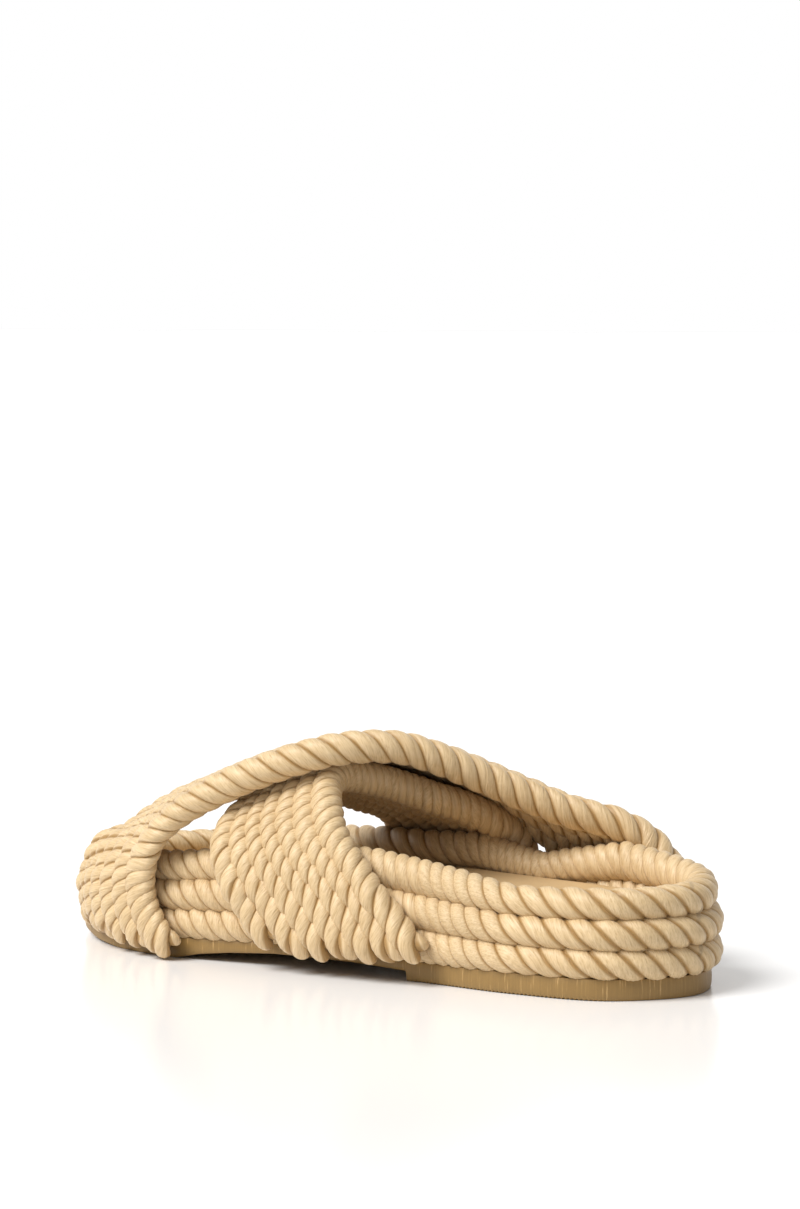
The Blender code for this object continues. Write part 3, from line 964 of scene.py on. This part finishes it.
class SANDAL_OT_outsole(bpy.types.Operator):
    """Rubber outsole: low heel block, hollow arch, toe lift and a finely ribbed heel edge."""

    bl_idname = "sandal.outsole"
    bl_label = "Outsole"

    def execute(self, context):
        rings, walk = outsole_rings()
        grain = np.stack([np.tile(walk, (len(rings), 1)), rings[..., 2]], axis=-1)
        piece = capped_rings("outsole_moulding", rings, grain, sharp=0.6)
        dress(piece, "outsole", rubber_material(context.scene.sandal_colours))
        return {"FINISHED"}


def insole_rings():
    """Rings of the insole, from its middle out to its edge and one more under it. A ring is the
    outline drawn in to the middle line by a share. Its height is the table's, raised by INSOLE_CUP
    times the share's cube and lowered at the edge by the roll."""
    curve = outline(INSOLE_OUTLINE, INSOLE_ENDS, INSOLE_POINTS)
    table = np.array(INSOLE_TOP, float)
    centre = middle_line(curve, *INSOLE_MIDDLE)
    inner = np.linspace(*INSOLE_SHARES)
    share = np.r_[inner, [share for share, _ in INSOLE_ROLL]]
    roll = np.r_[np.zeros(len(inner)), [-drop for _, drop in INSOLE_ROLL]]
    flat = curve[None] * share[:, None, None] + centre[None] * (1 - share)[:, None, None]
    height = np.interp(flat[..., 1], table[:, 0], table[:, 1])
    height = height + INSOLE_CUP * share[:, None] ** 3 + roll[:, None]
    rings = np.concatenate([flat, height[..., None]], axis=-1)
    under = rings[-1].copy()
    under[:, 2] = stack_heights(under[:, 0], under[:, 1])[1] + GAP / 2
    return np.concatenate([rings, under[None]])


class SANDAL_OT_insole(bpy.types.Operator):
    """Leather-covered insole: a shallow cup whose edge rolls down against the ropes."""

    bl_idname = "sandal.insole"
    bl_label = "Insole"

    def execute(self, context):
        piece = capped_rings("insole_cover", insole_rings(), None, sharp=0.9)
        dress(piece, "insole", leather_material(context.scene.sandal_colours))
        return {"FINISHED"}


class SANDAL_OT_edge_ropes(bpy.types.Operator):
    """The three twisted ropes stacked round the edge of the sole."""

    bl_idname = "sandal.edge_ropes"
    bl_label = "Edge ropes"

    def execute(self, context):
        sizes = context.scene.sandal_sizes
        finish = rope_material("edge_rope_yarn", context.scene.sandal_colours)
        for place, (node, stand, phase) in enumerate(EDGE_ROPES):
            rope = row_rope(place, stand, phase, sizes)
            piece = rope_object(node + "_twist", [rope], sizes, True)
            dress(piece, node, finish)
        return {"FINISHED"}


class SANDAL_OT_straps(bpy.types.Operator):
    """The two crossed straps of the upper, each of parallel twisted ropes."""

    bl_idname = "sandal.straps"
    bl_label = "Straps"

    def execute(self, context):
        sizes = context.scene.sandal_sizes
        finish = rope_material("strap_rope_yarn", context.scene.sandal_colours)
        for name, strap in STRAPS:
            piece = rope_object(name, strap_ropes(strap, sizes), sizes, False)
            dress(piece, "upper", finish)
        return {"FINISHED"}


# Stage

def aimed(name, data, way):
    """Object for a light or camera, turned to look the given way."""
    thing = bpy.data.objects.new(name, data)
    thing.rotation_euler = Vector(way).to_track_quat("-Z", "Y").to_euler()
    bpy.context.scene.collection.objects.link(thing)
    return thing


def pale_floor(colour):
    """Wide smooth floor at ground level, faintly glossy."""
    mesh = bpy.data.meshes.new("floor")
    far = FLOOR_HALF_SIZE
    mesh.from_pydata([(-far, -far, 0), (far, -far, 0), (far, far, 0), (-far, far, 0)], [],
                     [(0, 1, 2, 3)])
    floor = bpy.data.objects.new("floor", mesh)
    bpy.context.scene.collection.objects.link(floor)
    paint = new_material("floor_paint")
    paint.fill(paint.shader, Base_Color=(*colour, 1.0), Roughness=0.2)
    mesh.materials.append(paint.owner)


def white_room(strength):
    """White surround: full white where the camera or a mirroring ray sees it, and of the given
    strength as a light."""
    room = Nodes(bpy.data.worlds.new("white_room"), "Background")
    seen = room.add("LightPath")
    plain = room.add("Math", operation="MAXIMUM")
    room.put(plain.inputs[0], seen.outputs["Is Camera Ray"])
    room.put(plain.inputs[1], seen.outputs["Is Glossy Ray"])
    power = room.add("MapRange", Value=plain.outputs["Value"], To_Min=strength, To_Max=1.0)
    room.fill(room.shader, Color=(*WHITE, 1.0), Strength=power.outputs["Result"])
    return room.owner


class SANDAL_OT_stage(bpy.types.Operator):
    """Plain pale floor, white surround, a soft sun and the camera."""

    bl_idname = "sandal.stage"
    bl_label = "Stage"

    def execute(self, context):
        scene = context.scene
        stage = scene.sandal_stage
        pale_floor(scene.sandal_colours.floor)
        scene.world = white_room(stage.world)
        scene.view_settings.view_transform = "Standard"
        sun = bpy.data.lights.new("key_light", "SUN")
        sun.energy = stage.key_power
        sun.angle = stage.key_spread
        aimed("key_light", sun, -Vector(stage.key_from))
        data = bpy.data.cameras.new("camera")
        data.sensor_fit = "VERTICAL"
        data.sensor_height = SENSOR_HEIGHT
        data.lens = stage.lens
        data.clip_start, data.clip_end = CLIP
        camera = aimed("camera", data, stage.sight)
        camera.location = stage.eye
        scene.camera = camera
        return {"FINISHED"}


class SANDAL_PT_panel(bpy.types.Panel):
    """Lists the steps that make the sandal, and its sizes, colours and stage."""

    bl_idname = "SANDAL_PT_panel"
    bl_label = "Rope Sandal"
    bl_space_type = "VIEW_3D"
    bl_region_type = "UI"
    bl_category = "Sandal"

    def draw(self, context):
        column = self.layout.column()
        for step in STEPS:
            column.operator(step.bl_idname)
        for group in ("sandal_sizes", "sandal_colours", "sandal_stage"):
            box = self.layout.box()
            settings = getattr(context.scene, group)
            for key in settings.__annotations__:
                box.prop(settings, key)


GROUPS = (
    ("sandal_sizes", RopeSizes),
    ("sandal_colours", SandalColours),
    ("sandal_stage", StageSettings),
)
STEPS = (SANDAL_OT_stage, SANDAL_OT_outsole, SANDAL_OT_insole, SANDAL_OT_edge_ropes,
         SANDAL_OT_straps)


def register():
    """Adds the settings, the operators and the panel."""
    for name, group in GROUPS:
        bpy.utils.register_class(group)
        setattr(bpy.types.Scene, name, PointerProperty(type=group))
    for step in STEPS + (SANDAL_PT_panel,):
        bpy.utils.register_class(step)


def unregister():
    """Takes them all away again, in the other order."""
    for step in (SANDAL_PT_panel,) + STEPS[::-1]:
        bpy.utils.unregister_class(step)
    for name, group in GROUPS[::-1]:
        delattr(bpy.types.Scene, name)
        bpy.utils.unregister_class(group)


def main():
    """Registers the classes and makes every piece."""
    register()
    bpy.ops.sandal.stage()
    bpy.ops.sandal.outsole()
    bpy.ops.sandal.insole()
    bpy.ops.sandal.edge_ropes()
    bpy.ops.sandal.straps()


if __name__ == "__main__":
    main()
